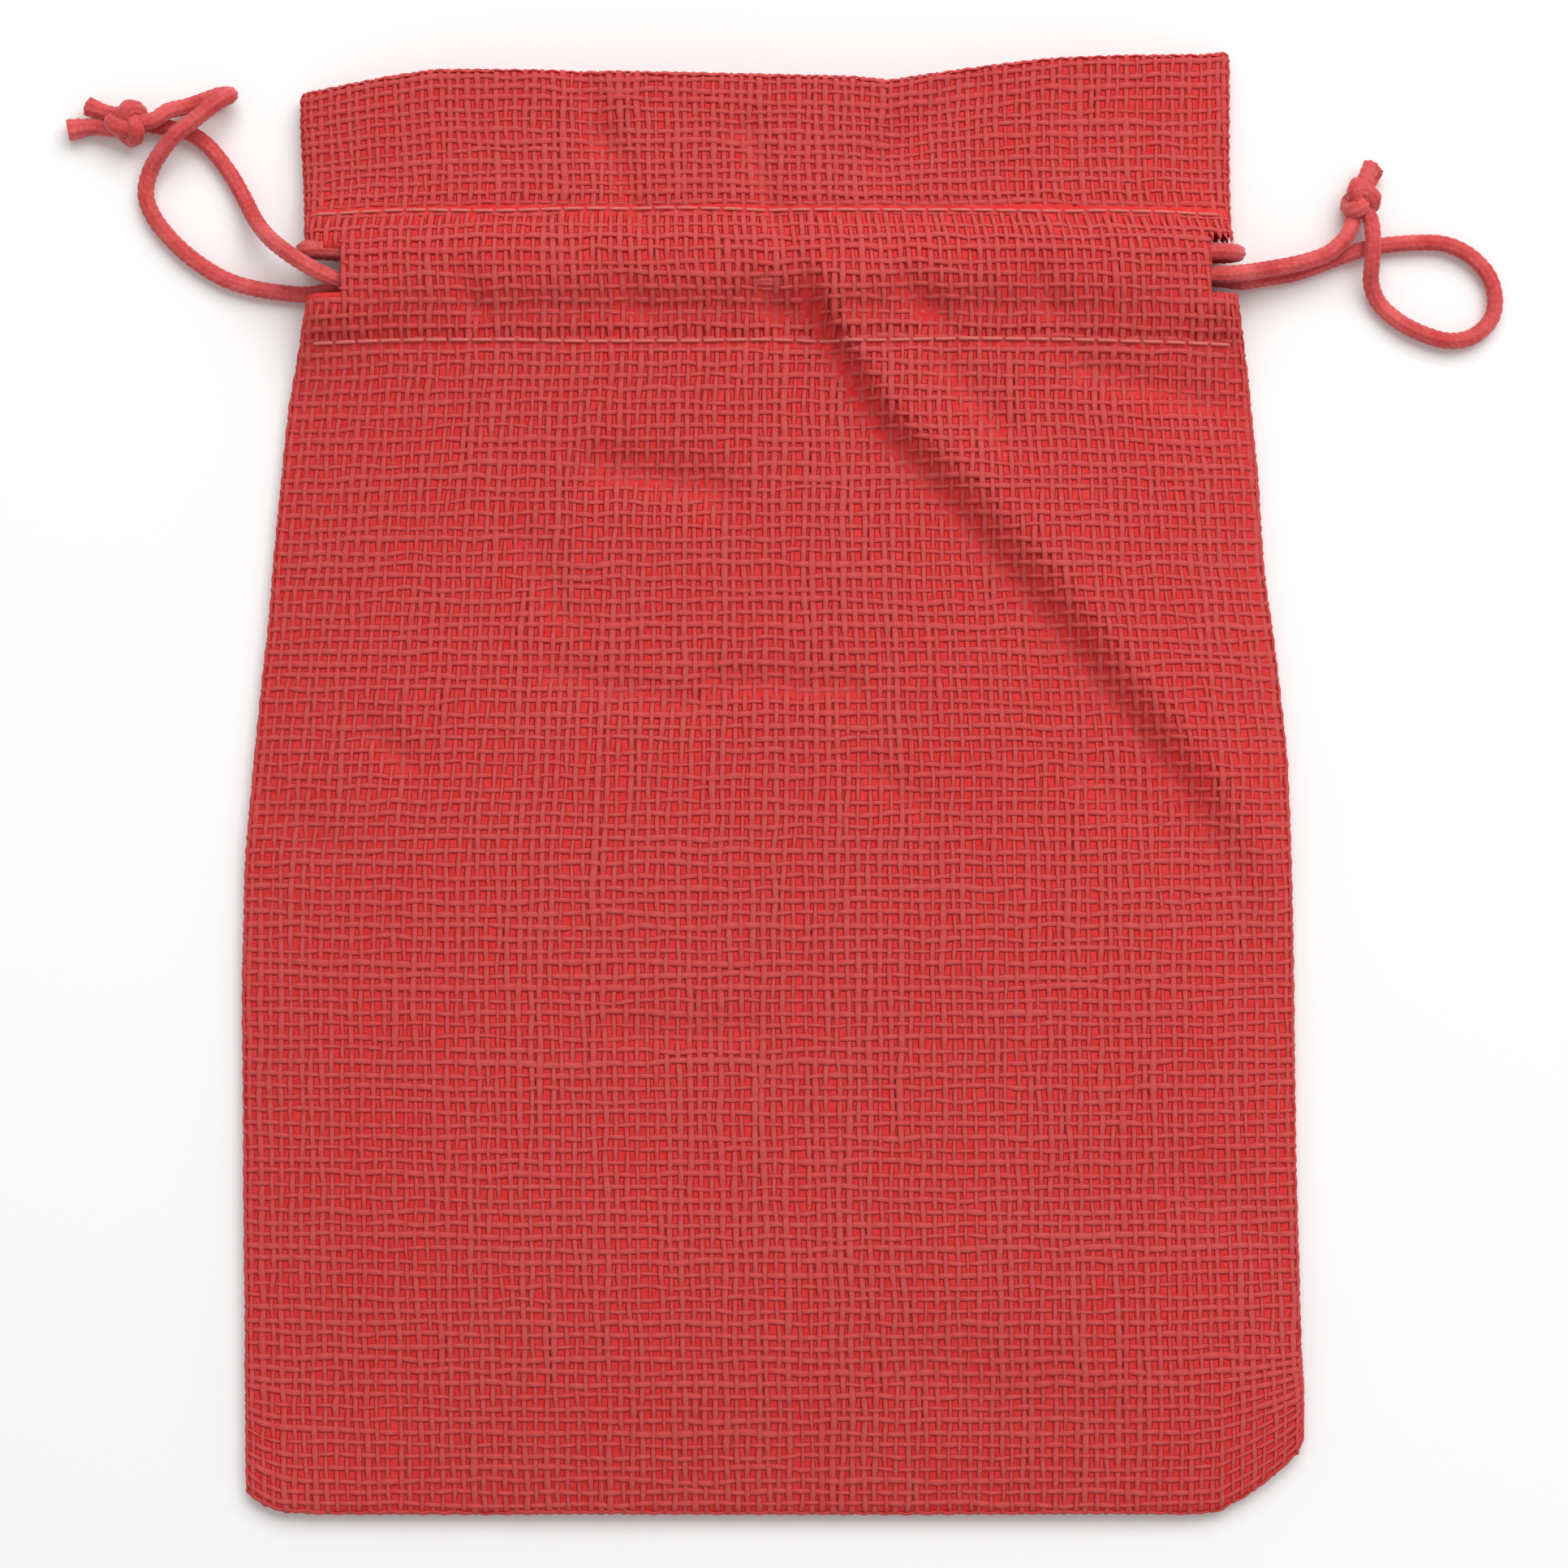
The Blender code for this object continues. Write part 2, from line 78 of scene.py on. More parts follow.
LEFT_LANES = (61.3, 65.1)        # Y of the left cord at the left and right ends of the casing
RIGHT_LANES = (65.2, 62.3)
LEFT_STRAND_FRONT = (
    (-78.4, 81.5, 2.0), (-76.1, 81.2, 1.15), (-74.8, 81.0, 1.15), (-73.3, 80.7, 1.15), (-71.4, 80.0, 1.15),
    (-69.3, 78.3, 1.15), (-67.0, 75.3, 1.15), (-65.3, 72.4, 1.5), (-63.7, 69.4, 2.8),
    (-61.8, 67.0, 4.8), (-59.6, 65.1, 6.8), (-57.4, 63.6, 7.5), (-55.0, 62.3, 7.2),
    (-52.4, 61.4, 6.75),
)
LEFT_STRAND_BACK = (
    (-52.4, 61.2, 1.95), (-55.2, 60.7, 1.6), (-58.2, 60.4, 1.2), (-63.2, 61.0, 1.15),
    (-67.2, 62.1, 1.15), (-70.7, 64.1, 1.15), (-73.7, 66.6, 1.15), (-76.2, 69.6, 1.15),
    (-77.4, 72.6, 1.15), (-76.8, 75.6, 1.5), (-75.2, 77.9, 2.7), (-73.4, 79.7, 3.7),
    (-71.5, 81.2, 3.9), (-69.6, 82.7, 3.9), (-67.9, 84.0, 3.7), (-66.8, 84.8, 2.5),
    (-68.3, 85.0, 1.2), (-70.3, 84.3, 1.15), (-72.4, 83.5, 1.6), (-74.4, 82.8, 2.9),
    (-76.1, 81.6, 3.4), (-78.2, 81.3, 2.8),
)
RIGHT_STRAND_FRONT = (
    (54.8, 62.3, 6.4), (57.6, 62.6, 5.5), (60.8, 63.2, 4.2), (64.7, 64.0, 3.5), (68.0, 65.1, 3.5),
    (70.0, 66.7, 3.3), (71.0, 68.2, 2.8), (71.3, 69.2, 2.5), (71.8, 71.2, 2.3),
)
RIGHT_STRAND_BACK = (
    (54.8, 62.2, 1.95), (57.6, 61.9, 1.6), (60.8, 62.4, 1.2), (64.7, 63.1, 1.15),
    (68.8, 64.6, 1.15), (71.6, 65.6, 1.15), (74.9, 66.4, 1.15), (79.5, 66.8, 1.15),
    (83.0, 66.6, 1.15), (86.0, 65.2, 1.15), (88.3, 62.7, 1.15), (89.1, 59.8, 1.15),
    (88.5, 57.2, 1.15), (86.3, 55.2, 1.15), (83.2, 54.7, 1.15), (79.6, 55.8, 1.15),
    (76.8, 57.4, 1.15), (74.7, 59.4, 1.2), (73.7, 61.7, 2.0), (73.6, 63.9, 3.4),
    (73.7, 66.0, 3.8), (73.7, 67.8, 3.3), (73.6, 69.2, 2.7),
    (72.8, 71.2, 2.6),
)


def s_curve(value, low, high):
    """0 below low, 1 above high, and 3t^2 - 2t^3 between them."""
    t = np.clip((np.asarray(value, float) - low) / (high - low), 0, 1)
    return t * t * (3 - 2 * t)


def casing_run(face, lanes, inner):
    """Route of a cord through one face of the casing, left to right: it lies against the outer
    layer, moves from one lane to the other at the crossing, and the inner cord dips there."""
    middle = CROSSING_X if face == "front" else -CROSSING_X
    turned_in = -1 if face == "front" else 1
    offsets = np.array((-83, -78, -66, -54, -42, -30, -20, -13, -8, -4, 0, 4, 8, 13, 17, 19))
    x = np.sort(middle + offsets * (1 if face == "front" else -1))
    x = x[(x >= -50) & (x <= 52)]
    across = (x - (CASING_LEFT + CASING_RIGHT) / 2) / ((CASING_RIGHT - CASING_LEFT) / 2)
    dome = 1 - np.minimum(np.abs(across), 1) ** 4
    z = CASING_EDGE + (CASING_HEIGHT - CASING_EDGE) * dome - FRONT_LANE_DROP
    if face == "back":
        z = np.full_like(x, LANE_DROP)
    share = s_curve(x, middle - CROSSING_HOLD, middle + CROSSING_HOLD)
    y = lanes[0] + (lanes[1] - lanes[0]) * share
    if inner:
        away = s_curve(np.abs(x - middle), CROSSING_HOLD, CROSSING_HOLD + CROSSING_RAMP)
        z = z + turned_in * CROSSING_DEPTH * (1 - away)
    return np.stack([x, y, z], axis=1)


def bight(tip_x, side, y):
    """A half circle round a side seam, from the front of the casing to its back."""
    radius = CASING_EDGE / 2 - LANE_DROP
    a = np.radians([90, 45, 0, -45, -90])
    x = tip_x + side * radius * (np.cos(a) - 1)
    return np.stack([x, np.full_like(x, y), CASING_EDGE / 2 + radius * np.sin(a)], axis=1)


def smooth_line(route, samples):
    """Catmull-Rom cubic through the route's points, with samples points to a span."""
    p = np.asarray(route, float)
    p = np.vstack([2 * p[:1] - p[1:2], p, 2 * p[-1:] - p[-2:-1]])
    a, b, c, d = (p[i:len(p) - 3 + i, None] for i in range(4))
    t = (np.arange(samples) / samples)[None, :, None]
    line = 0.5 * (2 * b + (c - a) * t + (2 * a - 5 * b + 4 * c - d) * t**2
                  + (3 * b - a - 3 * c + d) * t**3)
    return np.vstack([line.reshape(-1, 3), p[-2]])


def ring_centres(route, hidden_from, hidden_to):
    """Points along a route, close together where the cord shows and further apart in the casing,
    where |x| is inside the two limits."""
    line = smooth_line(route, 24)
    run = np.concatenate([[0], np.cumsum(np.linalg.norm(np.diff(line, axis=0), axis=1))])
    middle_x = (line[1:, 0] + line[:-1, 0]) / 2
    hidden = (middle_x > hidden_from) & (middle_x < hidden_to)
    rings = np.concatenate([[0], np.cumsum(np.diff(run) / np.where(hidden, COARSE_RING, FINE_RING))])
    at = np.interp(np.linspace(0, rings[-1], int(rings[-1]) + 1), rings, run)
    return np.stack([np.interp(at, run, line[:, k]) for k in range(3)], axis=1), at


def carried_frames(centres):
    """Two cross directions at each point of a line, each carried on from the last without twist."""
    tangents = np.gradient(centres, axis=0)
    tangents /= np.linalg.norm(tangents, axis=1)[:, None]
    side = np.cross(tangents[0], (0.0, 0.0, 1.0))
    sides = []
    for tangent in tangents:
        side = side - tangent * (side @ tangent)
        side = side / np.linalg.norm(side)
        sides.append(side)
    sides = np.array(sides)
    return sides, np.cross(sides, tangents)


def braid_relief(turn, run):
    """Height of the braid from 0 to 1: eight ribs run along the cord, and each is a row of stitches
    that lean one way or the other by turns, so that two neighbours make a row of chevrons."""
    rib_place = turn * CORD_RIBS / (2 * math.pi)
    rib = np.floor(rib_place)
    across = rib_place - rib
    lean = np.where(rib % 2 == 0, 1.0, -1.0)
    phase = run / STITCH_PITCH + lean * STITCH_SLANT * (across - 0.5)
    rounded = np.sqrt(np.clip(np.sin(np.pi * across), 0, 1))
    stitch = np.sqrt(0.5 + 0.5 * np.cos(2 * math.pi * phase))
    return rounded * (0.35 + 0.65 * stitch)


def tube_points(centres, run, radius, relief):
    """Rings round a line: radius times (1 - relief + relief times the braid's height)."""
    turn = np.linspace(0, 2 * math.pi, CORD_SIDES, endpoint=False)[None, :]
    side, up = carried_frames(centres)
    height = braid_relief(turn, run[:, None])
    r = (np.asarray(radius).reshape(-1, 1) * (1 - relief + relief * height))[:, :, None]
    wave = turn[:, :, None]
    return centres[:, None] + r * (np.cos(wave) * side[:, None] + np.sin(wave) * up[:, None])


def strips_mesh(name, points, keep=None, capped=True):
    """A mesh of closed tubes from points[tube, along, around], in mm. keep[tube, along] drops
    segments. The UV map gives each tube its own strip: U along it and V round it."""
    tubes, along, around = points.shape[:3]
    index = np.arange(tubes * along * around).reshape(tubes, along, around)
    ahead = np.roll(index, -1, axis=2)
    quads = np.stack([index[:, :-1], ahead[:, :-1], ahead[:, 1:], index[:, 1:]], axis=-1)
    u = np.linspace(0, 1, along)
    v = (np.arange(tubes)[:, None] + np.linspace(0, 0.94, around + 1)[None]) / tubes
    u_low, u_high = (np.broadcast_to(u[s][None, :, None], quads.shape[:3]) for s in
                     (slice(None, -1), slice(1, None)))
    v_low, v_high = (np.broadcast_to(v[:, None, s], quads.shape[:3]) for s in
                     (slice(None, -1), slice(1, None)))
    uv = np.stack([np.stack([u_low, v_low], -1), np.stack([u_low, v_high], -1),
                   np.stack([u_high, v_high], -1), np.stack([u_high, v_low], -1)], axis=-2)
    chosen = np.ones(quads.shape[:2], bool) if keep is None else keep
    faces = quads[chosen].reshape(-1, 4)
    corners = uv[chosen].reshape(-1, 2)
    loops, sizes = faces.ravel(), np.full(len(faces), 4)
    if capped:
        first, last = index[:, 0, ::-1], index[:, -1, :]
        loops = np.concatenate([loops, first.ravel(), last.ravel()])
        sizes = np.concatenate([sizes, np.full(2 * tubes, around)])
        spot_v = np.repeat(v[:, :1], around, axis=1).ravel()
        corners = np.concatenate([corners, np.stack([np.zeros_like(spot_v), spot_v], 1),
                                  np.stack([np.ones_like(spot_v), spot_v], 1)])
    mesh = bpy.data.meshes.new(name)
    mesh.vertices.add(points.size // 3)
    mesh.vertices.foreach_set("co", (points.reshape(-1) * MM).astype(np.float32))
    mesh.loops.add(len(loops))
    mesh.loops.foreach_set("vertex_index", loops.astype(np.int32))
    mesh.polygons.add(len(sizes))
    starts = np.concatenate([[0], np.cumsum(sizes)[:-1]])
    mesh.polygons.foreach_set("loop_start", starts.astype(np.int32))
    mesh.uv_layers.new(name="OFBake").data.foreach_set("uv", corners.astype(np.float32).ravel())
    mesh.update(calc_edges=True)
    mesh.validate()
    mesh.shade_smooth()
    obj = bpy.data.objects.new(name, mesh)
    bpy.context.scene.collection.objects.link(obj)
    return obj


def srgb(code):
    """An sRGB hex colour as linear red, green, blue and alpha."""
    parts = np.array([int(code[i:i + 2], 16) for i in (1, 3, 5)]) / 255
    linear = np.where(parts <= 0.04045, parts / 12.92, ((parts + 0.055) / 1.055) ** 2.4)
    return (*linear.tolist(), 1.0)


def add_node(material, kind, settings=None, links=None):
    """Adds a shader node, sets its properties and sockets, and joins its inputs to other outputs."""
    node = material.node_tree.nodes.new(kind)
    for key, value in (settings or {}).items():
        if isinstance(key, str) and hasattr(node, key):
            setattr(node, key, value)
        else:
            node.inputs[key].default_value = value
    for key, source in (links or {}).items():
        material.node_tree.links.new(source, node.inputs[key])
    return node


def new_material(name, roughness, sheen):
    """An empty Principled material with its even values set on the shader itself."""
    material = bpy.data.materials.new(name)
    material.use_nodes = True
    shader = material.node_tree.nodes["Principled BSDF"]
    shader.inputs["Roughness"].default_value = roughness
    shader.inputs["Specular IOR Level"].default_value = 0.12
    shader.inputs["Sheen Weight"].default_value = sheen
    shader.inputs["Sheen Roughness"].default_value = 0.5
    return material, shader


def braided_cord_material():
    """Dyed polyester braid: even red with a soft silky sheen, darker in the furrows between the
    stitches, with fine filaments of about 0.1 mm running along each stitch."""
    material, shader = new_material("polyester_braid", 0.62, 0.25)
    place = add_node(material, "ShaderNodeTexCoord")
    filaments = add_node(material, "ShaderNodeTexNoise", {"Scale": 2600.0, "Detail": 2.0},
                         {"Vector": place.outputs["Object"]})
    patches = add_node(material, "ShaderNodeTexNoise", {"Scale": 320.0, "Detail": 2.0},
                       {"Vector": place.outputs["Object"]})
    mixed = add_node(material, "ShaderNodeMath", {"operation": "MULTIPLY_ADD", 1: 0.5},
                     {0: filaments.outputs["Fac"], 2: patches.outputs["Fac"]})
    tone = add_node(material, "ShaderNodeValToRGB", None, {"Fac": mixed.outputs[0]})
    tone.color_ramp.elements[0].position = 0.55
    tone.color_ramp.elements[0].color = srgb("#BE3A3A")
    tone.color_ramp.elements[1].position = 0.95
    tone.color_ramp.elements[1].color = srgb("#D85C5C")
    bump = add_node(material, "ShaderNodeBump", {"Strength": 0.25, "Distance": 0.0001},
                    {"Height": filaments.outputs["Fac"]})
    material.node_tree.links.new(tone.outputs["Color"], shader.inputs["Base Color"])
    material.node_tree.links.new(bump.outputs["Normal"], shader.inputs["Normal"])
    return material


def braided_cord(name, route, casing_span):
    """The cord's mesh, its ring centres in metres, and its length."""
    centres, run = ring_centres(route, *casing_span)
    points = tube_points(centres, run, CORD_D / 2, 0.16)
    piece = strips_mesh(name, points[None])
    return piece, [tuple(p) for p in centres * MM], float(run[-1]) * MM


cord_material = braided_cord_material()
left_route = np.vstack([LEFT_STRAND_FRONT, casing_run("front", LEFT_LANES, False),
                        bight(57.0, 1, LEFT_LANES[1]),
                        casing_run("back", LEFT_LANES, False)[::-1], LEFT_STRAND_BACK])
right_route = np.vstack([RIGHT_STRAND_FRONT[::-1], casing_run("front", RIGHT_LANES, True)[::-1],
                         bight(-57.6, -1, 65.5), casing_run("back", RIGHT_LANES, True),
                         RIGHT_STRAND_BACK])
left_cord, left_path, left_length = braided_cord("left_braided_cord", left_route, (-48, 50))
right_cord, right_path, right_length = braided_cord("right_braided_cord", right_route, (-48, 50))
for cord, node in ((left_cord, "left_drawcord"), (right_cord, "right_drawcord")):
    cord.data.materials.append(cord_material)
    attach(cord, "root")
    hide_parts(node)

# ---------------------------------------------------------------------------------------------
# Knots. The two ends of each cord are tied together in one overhand knot, pulled tight, and cut
# off with a few millimetres to spare, so that the braid opens and frays a little at the cuts.
# ---------------------------------------------------------------------------------------------
KNOT_STRAND_R = 1.12
LEFT_KNOT = (-79.4, 81.4, 2.45)
RIGHT_KNOT = (72.3, 72.0, 2.45)


def tied_loop(centre, size, turned):
    """The pulled-tight part of an overhand knot: a trefoil line, x = sin t + 2 sin 2t,
    y = cos t - 2 cos 2t, z = -sin 3t, scaled to the knot's size and turned in plan."""
    t = np.linspace(0, 2 * math.pi, 150)
    x = (np.sin(t) + 2 * np.sin(2 * t)) * size[0] / 6
    y = (np.cos(t) - 2 * np.cos(2 * t)) * size[1] / 6
    z = -np.sin(3 * t) * size[2] / 2
    c, s = math.cos(turned), math.sin(turned)
    return np.stack([centre[0] + c * x - s * y, centre[1] + s * x + c * y, centre[2] + z], axis=1)


def cut_end(route, flare):
    """A cord end on a smooth line, with its radius growing towards the cut, where it frays."""
    line = smooth_line(route, 12)
    run = np.concatenate([[0], np.cumsum(np.linalg.norm(np.diff(line, axis=0), axis=1))])
    share = run / run[-1]
    radius = KNOT_STRAND_R * (0.92 + flare * s_curve(share, 0.55, 1.0))
    return line, run, radius


def knot_piece(name, loop, ends):
    """Joins the tied loop and the cut ends into one mesh of braided tubes."""
    made = []
    run = np.concatenate([[0], np.cumsum(np.linalg.norm(np.diff(loop, axis=0), axis=1))])
    made.append(strips_mesh(name, tube_points(loop, run, KNOT_STRAND_R, 0.16)[None]))
    for i, (line, length, radius) in enumerate(ends):
        made.append(strips_mesh(f"{name}_{i}", tube_points(line, length, radius, 0.2)[None]))
    with bpy.context.temp_override(active_object=made[0], object=made[0], selected_objects=made,
                                   selected_editable_objects=made):
        bpy.ops.object.join()
    made[0].data.materials.append(cord_material)
    return made[0]


left_knot = knot_piece("left_tied_knot", tied_loop(LEFT_KNOT, (3.7, 4.0, 2.2), 0.4), [
    cut_end([(-78.6, 82.2, 2.6), (-80.6, 82.4, 2.4), (-82.4, 82.8, 1.8), (-84.5, 83.6, 1.3)], 0.2),
    cut_end([(-78.6, 80.9, 2.3), (-81.0, 80.6, 2.1), (-83.6, 81.0, 1.5), (-85.4, 80.9, 1.3),
             (-87.0, 80.6, 1.5)], 0.35)])
right_knot = knot_piece("right_tied_knot", tied_loop(RIGHT_KNOT, (3.6, 3.0, 2.2), 1.2), [
    cut_end([(71.9, 71.6, 3.2), (72.3, 73.2, 3.2), (73.0, 74.7, 2.6), (73.8, 76.2, 2.0)], 0.15),
    cut_end([(72.6, 71.6, 2.0), (73.0, 73.0, 1.8), (73.6, 74.4, 1.5), (74.3, 75.9, 1.3)], 0.15)])
for knot, node in ((left_knot, "left_knot"), (right_knot, "right_knot")):
    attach(knot, "root")
    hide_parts(node)

# ---------------------------------------------------------------------------------------------
# Cloth. One piece of loose, slubby jute, folded at the bottom and seamed up both sides. The top
# is turned in as a hem that is sewn down twice, and the casing is the space between the two rows.
# This is the ground of the weave, seen as the dark gaps between the yarns that lie on it.
# ---------------------------------------------------------------------------------------------
BOTTOM_R = 1.2                   # the bottom fold's and the mouth fold's outer radii, mm
MOUTH_R = 0.85
MOUTH_TOP = 90.3
HEADER_FROM = 69.8               # from here up, the stations follow the slant of the mouth's edge
CORNER_FROM = -70.0              # and from here down, the rounded corners of the bottom edge
HEM_DOWN = 36.5                  # length of the hem inside
GROUND_DEPTH = 0.38              # from the outer face to the ground of the weave, mm
LOWER_ROW_Y, UPPER_ROW_Y = 53.9, 69.8
LEFT_EDGE = (
    (-90.3, -65.2), (-81.4, -65.3), (-23.4, -65.7), (-9.4, -65.4), (2.6, -64.3), (18.6, -62.6),
    (34.6, -61.2), (46.6, -59.9), (54.6, -58.3), (58.6, -57.5), (65.6, -57.6), (84.8, -58.4),
)
RIGHT_EDGE = (
    (-90.3, 65.7), (-78.4, 65.7), (-49.4, 64.8), (-13.4, 64.3),
    (2.6, 63.7), (14.6, 62.4), (26.6, 60.8), (38.6, 60.0), (50.6, 58.7), (58.1, 57.4),
    (66.0, 56.8), (68.6, 56.4), (90.3, 56.4),
)
MOUTH_EDGE = (
    (-58.4, 84.8), (-47.0, 86.6), (-41.2, 87.3), (-25.2, 86.9), (9.8, 86.1), (14.0, 85.6),
    (23.5, 87.2), (34.8, 88.6), (52.8, 89.7), (56.4, 90.3),
)
BOTTOM_EDGE = (
    (-65.4, -86.6), (-65.0, -87.4), (-62.8, -89.2), (-60.6, -90.1), (-57.0, -90.3), (51.0, -90.3),
    (54.8, -90.0), (58.5, -87.8), (62.2, -84.9), (64.7, -82.4), (65.7, -79.4),
)
EDGE_THICKNESS = (
    (-90.3, 2.4), (46.0, 2.4), (51.0, 3.6), (53.9, 5.6), (57.0, 8.0), (60.0, 8.6), (64.5, 8.6),
    (67.5, 7.8), (69.8, 6.0), (73.0, 4.4), (77.0, 4.0), (90.3, 4.0),
)
NOTCHES = ((-1, -52.4, 59.3, 66.3), (1, 53.2, 60.0, 66.5))   # side, inner X, lower Y, upper Y
# The fold that runs from the casing down to the right edge; the cloth above it stands higher
MAIN_FOLD = (
    (3.0, 66.5), (6.2, 56.6), (13.8, 44.2), (23.5, 34.5), (33.1, 23.5), (42.8, 11.7), (51.1, 1.4),
    (58.5, -9.0), (66.0, -19.0),
)
# Smaller valleys: X and Y of both ends, depth and half width, mm
VALLEYS = (
    (-23.5, 86.0, -21.0, 78.0, 0.9, 2.4), (-21.0, 78.0, -16.5, 68.0, 0.8, 2.2),
    (-3.5, 79.0, 0.5, 66.0, 0.9, 2.2), (24.0, 85.0, 13.0, 75.0, 1.0, 3.2),
    (36.5, 86.0, 35.9, 68.0, 0.6, 2.4), (45.0, 84.0, 44.0, 68.0, 0.4, 2.2),
    (-38.0, 61.0, -36.0, 57.0, 0.8, 2.0), (-18.5, 60.5, -16.5, 57.0, 0.8, 2.0),
    (-1.5, 60.0, 0.5, 56.5, 1.1, 2.0), (16.0, 60.0, 20.0, 56.0, 1.2, 2.0),
    (32.0, 61.0, 33.5, 57.0, 0.8, 2.0), (50.0, 61.0, 49.5, 57.0, 0.7, 2.0),
    (21.0, 50.5, 27.0, 42.5, 1.0, 2.4), (37.5, 50.0, 55.0, 46.0, 1.0, 2.4),
    (-20.5, 38.0, -8.0, 35.5, 1.5, 3.0), (-30.0, 28.5, -26.0, 20.0, 0.6, 2.6),
    (-27.0, 13.0, -9.0, 9.0, 0.6, 2.4), (-7.0, 12.0, 9.0, 11.5, 0.8, 2.2),
    (-49.0, 6.0, -45.5, 2.5, 0.8, 2.2), (-63.0, -3.0, -55.0, -8.0, 0.6, 3.0),
    (38.0, 0.5, 43.0, -3.5, 0.5, 2.6), (-19.5, -30.5, -3.0, -30.5, 0.5, 2.2),
    (12.0, 1.0, 17.0, -2.5, 0.5, 2.0), (18.0, -72.0, 40.0, -80.0, 0.7, 6.0),
    (52.0, -50.0, 60.0, -56.0, 0.6, 4.0),
)


def read_pairs(pairs, value):
    """Reads a list of (place, size) pairs at many places, in straight lines between them."""
    places, sizes = np.array(sorted(pairs)).T
    return np.interp(value, places, sizes)


def segment_distance(x, y, start, end):
    """Signed distance from a segment, positive on its left, and the share of the way along it."""
    dx, dy = end[0] - start[0], end[1] - start[1]
    length = math.hypot(dx, dy)
    share = np.clip(((x - start[0]) * dx + (y - start[1]) * dy) / length**2, 0, 1)
    gap_x, gap_y = x - start[0] - share * dx, y - start[1] - share * dy
    return np.copysign(np.hypot(gap_x, gap_y), dx * gap_y - dy * gap_x), share


def fold_height(x, y):
    """Height that the folds add to the front, mm: a step along the main fold that fades away
    behind it, Gaussian valleys, and a few long low waves."""
    nearest = np.full(x.shape, 1e6)
    place = np.zeros(x.shape)
    for i, (start, end) in enumerate(zip(MAIN_FOLD[:-1], MAIN_FOLD[1:])):
        distance, share = segment_distance(x, y, start, end)
        closer = np.abs(distance) < np.abs(nearest)
        nearest = np.where(closer, distance, nearest)
        place = np.where(closer, (i + share) / (len(MAIN_FOLD) - 1), place)
    half = 1.7 + 1.5 * s_curve(place, 0.1, 0.45) + 3.0 * s_curve(place, 0.75, 1.0)
    tall = 4.2 * s_curve(place, 0.0, 0.12)
    height = 0.7 * tall * s_curve(nearest, -half, half) * np.exp(-np.maximum(nearest, 0) / 20)
    height = height - 0.3 * tall * np.exp(-(np.minimum(nearest + half, 0) / 9) ** 2) \
        * (1 - s_curve(nearest, -half, half))
    for x0, y0, x1, y1, depth, width in VALLEYS:
        distance, _ = segment_distance(x, y, (x0, y0), (x1, y1))
        height = height - depth * np.exp(-(distance / width) ** 2)
    waves = (np.sin(x / 9.1 + y / 31.0 + 0.4) + np.sin(x / 14.3 - y / 11.7 + 1.9)
             + np.sin(x / 33.0 + y / 8.3 + 3.0))
    return height + 0.16 * waves


